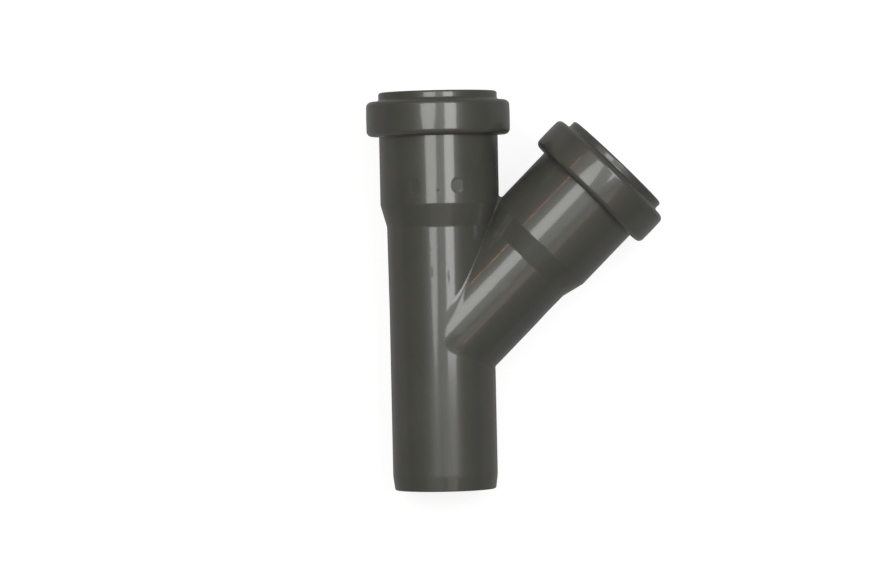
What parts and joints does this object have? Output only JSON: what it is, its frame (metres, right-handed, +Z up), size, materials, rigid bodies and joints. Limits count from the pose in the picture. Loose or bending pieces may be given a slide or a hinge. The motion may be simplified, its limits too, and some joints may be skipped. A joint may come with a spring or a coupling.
{
  "type": "lateral wye fitting",
  "caption": "Equal 45 degree wye for push-fit waste pipe: plain spigot, ring-seal socket on the run and a like socket on the branch.",
  "frame": {"origin": "middle of the outline seen from above, at table height, with the fitting lying as it rests", "axes": "+Y along the run seen from above, from spigot to socket; +X towards the branch; +Z up"},
  "size_m": [0.1116, 0.1542, 0.0553],
  "materials": {
    "moulded_plastic": "dark grey moulded plastic, semi-gloss",
    "seal_rubber": "black rubber, matt"
  },
  "bodies": {
    "root": {"wye_body": "moulded_plastic", "run_socket_seal": "seal_rubber", "branch_socket_seal": "seal_rubber"}
  },
  "joints": []
}
